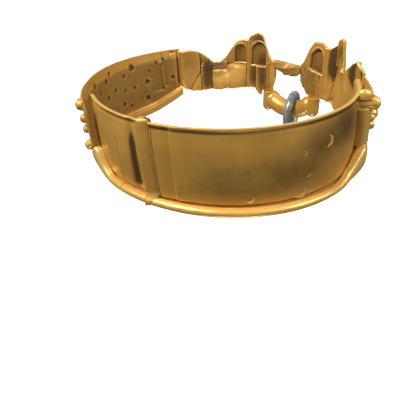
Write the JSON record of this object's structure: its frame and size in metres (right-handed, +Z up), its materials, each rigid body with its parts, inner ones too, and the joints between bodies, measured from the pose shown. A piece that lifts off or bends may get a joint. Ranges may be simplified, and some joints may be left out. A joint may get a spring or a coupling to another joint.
{
  "type": "rigid choker collar",
  "caption": "Rigid gold choker with a plain conical back, a lapped closure rib, studded sides, a pierced front and a hanging steel drop ring.",
  "frame": {"origin": "centre of the neck opening, in the plane of the lower rim's underside, where the collar sits on a neck", "axes": "+Z up, -Y to the front with the drop ring, +X to the wearer's left; the closure is at the back, +Y"},
  "size_m": [0.1357, 0.1262, 0.0566],
  "materials": {
    "gold": "satin cast metal with a gold finish, a little tarnished in the hollows",
    "steel": "plain bright wire"
  },
  "bodies": {
    "collar": {"back_panel_left": "gold", "back_panel_right": "gold", "closure_rib": "gold", "lower_rim_left": "gold", "lower_rim_right": "gold", "side_plate_left": "gold", "side_plate_right": "gold", "front_wing_left": "gold", "front_wing_right": "gold", "top_bridge": "gold", "pendant_bow": "gold"},
    "drop": {"drop_ring": "steel"}
  },
  "joints": [
    {"name": "ring_swing", "type": "hinge", "parent": "collar", "child": "drop", "pos_m": [-0.00687, -0.05579, 0.00231], "axis": [0.9945, -0.1045, 0], "range_deg": [-95, 60]}
  ]
}
